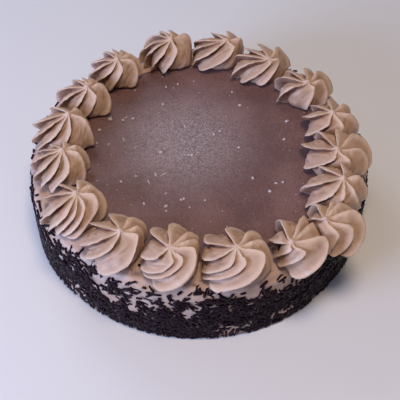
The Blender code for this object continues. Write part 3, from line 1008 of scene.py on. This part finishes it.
# strands that lie by themselves: near which point in mm, which way, how long
looseStrands = (
    ((-96.2, -34.2, 45.6), (0.9, -0.1, 0.3), 2.6),
    ((-95.0, -38.9, 45.6), (0.9, -0.3, 0.2), 4.0),
    ((-93.4, -43.3, 45.4), (0.2, -0.95, -0.2), 6.6),
    ((-86.5, -56.5, 44.0), (0.8, -0.3, 0.3), 6.6),
    ((-75.1, -72.7, 41.5), (0.1, -0.2, -0.9), 4.2),
    ((-68.3, -77.8, 43.8), (0.8, -0.6, 0.1), 4.4),
    ((-68.7, -77.2, 43.4), (-0.3, -0.4, -0.8), 4.2),
    ((-58.8, -86.1, 43.0), (0.8, -0.6, 0.0), 5.0),
    ((-29.3, -99.8, 43.6), (0.9, -0.3, 0.0), 2.4),
    ((-38.6, -96.4, 43.0), (0.7, 0.0, 0.7), 3.8),
    ((-53.7, -89.3, 41.0), (0.3, -0.1, 0.9), 6.4),
    ((-50.0, -91.6, 39.9), (-0.4, 0.1, -0.9), 6.4),
    ((-33.1, -99.2, 38.4), (0.6, -0.2, 0.8), 5.9),
    ((-23.0, -101.9, 40.6), (0.9, -0.2, 0.3), 6.4),
    ((-78.6, -68.7, 42.4), (0.7, -0.7, 0.0), 3.2),
    ((-10.0, -103.3, 43.4), (0.7, 0.3, 0.7), 3.0),
    ((-0.5, -103.0, 44.6), (0.9, 0.2, 0.2), 4.2),
    ((-15.5, -103.4, 39.2), (0.3, -0.1, -0.9), 5.6),
    ((8.6, -104.1, 38.4), (0.9, 0.1, -0.4), 6.8),
    ((-7.7, -104.2, 35.6), (1.0, -0.1, 0.1), 6.8),
    ((17.9, -102.9, 40.5), (0.5, 0.1, 0.9), 5.6),
    ((24.8, -101.5, 41.3), (0.9, 0.2, 0.2), 3.5),
    ((-103.0, -1.7, 44.5), (0.4, 0.9, 0.2), 3.7),
    ((-103.5, 4.3, 44.5), (0.4, -0.9, -0.2), 3.9),
    ((48.5, -81.0, 58.0), (0.85, 0.5, 0.2), 6.8),
    ((-32.3, -86.5, 47.0), (0.9, -0.4, 0.0), 1.8),
    ((66.5, 80.0, 44.5), (0.5, 0.6, 0.6), 5.0),
)


# the surface that loose bits lie on
def surfaceOf(items):
    vertices, faces = [], []
    for item in items:
        shift = len(vertices)
        vertices += [vertex.co.copy() for vertex in item.data.vertices]
        faces += [[shift + corner for corner in face.vertices] for face in item.data.polygons]
    return BVHTree.FromPolygons(vertices, faces)


# turns points made along x so that they lie on the surface near a place
def laid(points, surface, place, way, lift):
    spot, normal, _, _ = surface.find_nearest(Vector(place) * mm)
    along = Vector(way)
    along = (along - normal * along.dot(normal)).normalized()
    turn = Matrix((along, normal.cross(along), normal)).transposed()
    return points @ np.array(turn).T + np.array(spot + normal * lift)


def joined(name, parts, finish):
    points = np.concatenate([part[0] for part in parts])
    faces, shift = [], 0
    for part in parts:
        faces += [[shift + corner for corner in face] for face in part[1]]
        shift += len(part[0])
    return addObject(name, partsMesh(name, points, faces), finish)


cakeSurface = surfaceOf((icedBody, glazeDisc, *rosettes))
looseParts = []
for number, (place, way, length) in enumerate(looseStrands):
    bend = (number % 3) * strand["looseBend"]
    points, faces = strandParts(length * mm, strand["looseWidth"], bend)
    points = laid(points, cakeSurface, place, way, strand["looseLift"])
    looseParts.append((points, faces))
strandsAlone = joined("strandsAlone", looseParts, strandFinish)
print("loose strands", len(looseParts))

# pale icing crumbs on the glaze
crumbs = {
    # place and width in mm
    "large": (
        (-56.8, 30.2, 2.4), (-48.4, 29.2, 1.9), (-46.6, 31.6, 1.2), (-42.0, 30.6, 1.6),
        (-63.1, 20.1, 1.8), (-23.0, 44.3, 1.4), (-42.1, 58.0, 1.3), (-21.5, 61.0, 1.3),
        (27.5, 43.3, 1.6), (-55.9, 7.6, 1.3), (-63.5, 8.5, 1.3), (-23.0, 0.6, 1.8),
        (-3.7, -1.6, 1.7), (-5.6, -1.6, 1.2), (57.3, 28.2, 1.7), (54.3, 11.9, 1.5),
        (10.1, 16.4, 1.2), (14.0, 19.1, 1.2), (25.6, 4.9, 1.2), (33.3, -21.2, 1.5),
        (43.0, -31.7, 1.7), (47.0, -25.3, 1.3), (51.2, -24.5, 1.3), (-18.8, -43.4, 1.4),
        (-18.7, -47.2, 1.2), (-10.0, -38.4, 1.2), (-8.3, -37.6, 1.4), (-31.8, -41.5, 1.4),
        (-25.5, -18.7, 1.2), (-46.4, -24.0, 1.5), (-37.6, -19.6, 1.1), (-4.7, -44.2, 1.0),
        (4.2, -38.8, 1.0), (-13.5, 64.0, 1.1), (22.6, 56.0, 1.0),
    ),
    # scratches between two places, in mm
    "scratches": (
        ((-23.0, -19.5), (-18.6, -16.2)), ((-9.0, 24.7), (-7.7, 22.0)),
        ((-48.1, 13.9), (-46.0, 10.3)), ((-19.6, -34.0), (-18.5, -32.4)),
        ((-26.2, -16.2), (-24.8, -20.3)), ((-30.8, -21.9), (-28.9, -26.0)),
    ),
    "widen": 1.6,
    "flatness": 0.55,
    # the small ones that lie between them
    "sizes": (0.6 * mm, 0.95 * mm, 1.3 * mm),
    "density": 9000.0,
    "gap": 2.0 * mm,
    "seed": 17,
}


# a rough lump, centred on its place
def crumbParts(wide, deep, tall, fineness):
    bm = bmesh.new()
    bmesh.ops.create_icosphere(bm, subdivisions=fineness, radius=0.5)
    points = np.array([tuple(vertex.co * crumbDraw.uniform(0.62, 1.3)) for vertex in bm.verts])
    faces = [[vertex.index for vertex in face.verts] for face in bm.faces]
    bm.free()
    return points * np.array((wide, deep, tall)), faces


crumbDraw = random.Random(crumbs["seed"])
crumbKinds = []
for number, size in enumerate(crumbs["sizes"]):
    shape = crumbParts(size, size * 0.8, size * crumbs["flatness"], 1)
    crumbKinds.append(partsMesh(f"crumbKind{number}", *shape))
glazeReach = np.linspace(2 * mm, glaze["radius"] - 2 * mm, 24)[:, None]
glazeBearings = np.linspace(0.0, tau, 96, endpoint=False)[None, :]
glazeTop = np.full((glazeReach.size, glazeBearings.size, 3), coat["height"] - 0.15 * mm)
glazeTop[..., 0] = glazeReach * np.cos(glazeBearings)
glazeTop[..., 1] = glazeReach * np.sin(glazeBearings)
outward = ease(30 * mm, 75 * mm, np.hypot(glazeTop[..., 0], glazeTop[..., 1]))
crumbCover = np.clip(0.25 + outward * 0.75, 0.0, 1.0)
smallCrumbs = scattered(
    "smallCrumbs",
    bandMesh(glazeTop, crumbCover),
    crumbFinish,
    {
        "Kinds": kindsCollection("crumbKinds", crumbKinds),
        "Density": crumbs["density"],
        "Gap": crumbs["gap"],
        "Seed": crumbs["seed"],
        "Lift Min": 0.0,
        "Lift Max": 0.1 * mm,
        "Tilt": 0.2,
        "Scale Min": 0.5,
        "Scale Max": 1.1,
    },
)
largeParts = []
topInMm = coat["height"] / mm
for x, y, size in crumbs["large"]:
    wide = crumbs["widen"] * size * mm
    points, faces = crumbParts(wide, wide * 0.75, wide * crumbs["flatness"], 2)
    way = (crumbDraw.uniform(-1, 1), crumbDraw.uniform(-1, 1), 0)
    largeParts.append((laid(points, cakeSurface, (x, y, topInMm), way, 0.1 * mm), faces))
for (x1, y1), (x2, y2) in crumbs["scratches"]:
    points, faces = crumbParts(math.hypot(x2 - x1, y2 - y1) * mm, 0.8 * mm, 0.3 * mm, 2)
    place = ((x1 + x2) / 2, (y1 + y2) / 2, topInMm)
    way = (x2 - x1, y2 - y1, 0)
    largeParts.append((laid(points, cakeSurface, place, way, 0.03 * mm), faces))
largeCrumbs = joined("largeCrumbs", largeParts, crumbFinish)
print("crumbs", len(largeParts), len(smallCrumbs.data.polygons))


floorMesh = bpy.data.meshes.new("floor")
floorMesh.from_pydata([(-3, -3, 0), (3, -3, 0), (3, 3, 0), (-3, 3, 0)], [], [(0, 1, 2, 3)])
floorFinish, floorShader = newMaterial("paleFloor", 0.8, specular=0.2)
floorShader.inputs["Base Color"].default_value = (0.80, 0.80, 0.80, 1)
floor = addObject("floor", floorMesh, floorFinish)

# name, place, width, power in watts and colour: warm from above, cool from the left
lights = (
    ("ceiling", (0.06, -0.22, 0.95), 0.28, 4.3, (1.0, 0.77, 0.56)),
    ("window", (-0.80, -0.55, 0.36), 0.45, 10.6, (0.49, 0.61, 1.0)),
    ("backSky", (-0.45, 0.7, 0.7), 0.5, 2.4, (0.70, 0.78, 1.0)),
)
for name, place, width, power, colour in lights:
    lamp = bpy.data.lights.new(name, "AREA")
    lamp.shape = "DISK"
    lamp.size = width
    lamp.energy = power
    lamp.color = colour
    item = bpy.data.objects.new(name, lamp)
    item.location = place
    towards = Vector((0.0, 0.0, 0.03)) - Vector(place)
    item.rotation_euler = towards.to_track_quat("-Z", "Y").to_euler()
    bpy.context.scene.collection.objects.link(item)

world = bpy.data.worlds.new("softSky")
world.use_nodes = True
sky = world.node_tree.nodes["Background"]
sky.inputs["Color"].default_value = (0.66, 0.74, 1.0, 1)
sky.inputs["Strength"].default_value = 0.17
bpy.context.scene.world = world

view = {
    "lens": 74.74,
    "sensor": 36.0,
    "place": (0.00098, -0.3586, 0.4189),
    "down": math.radians(49.365376),
    "right": math.radians(0.041399),
}
lens = bpy.data.cameras.new("camera")
lens.lens = view["lens"]
lens.sensor_width = view["sensor"]
camera = bpy.data.objects.new("camera", lens)
camera.location = view["place"]
camera.rotation_euler = (math.pi / 2 - view["down"], 0.0, -view["right"])
bpy.context.scene.collection.objects.link(camera)
bpy.context.scene.camera = camera
bpy.context.scene.view_settings.view_transform = "Standard"
print("floor, lights and camera set")

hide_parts("cake_body")
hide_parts("top_glaze")
for index, rosette in enumerate(rosettes):
    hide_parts(f"rosette_{index + 1:02d}")
for piece in (icedBody, glazeDisc, sideStrands, strandsAlone, smallCrumbs, largeCrumbs, *rosettes):
    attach(piece, "root")
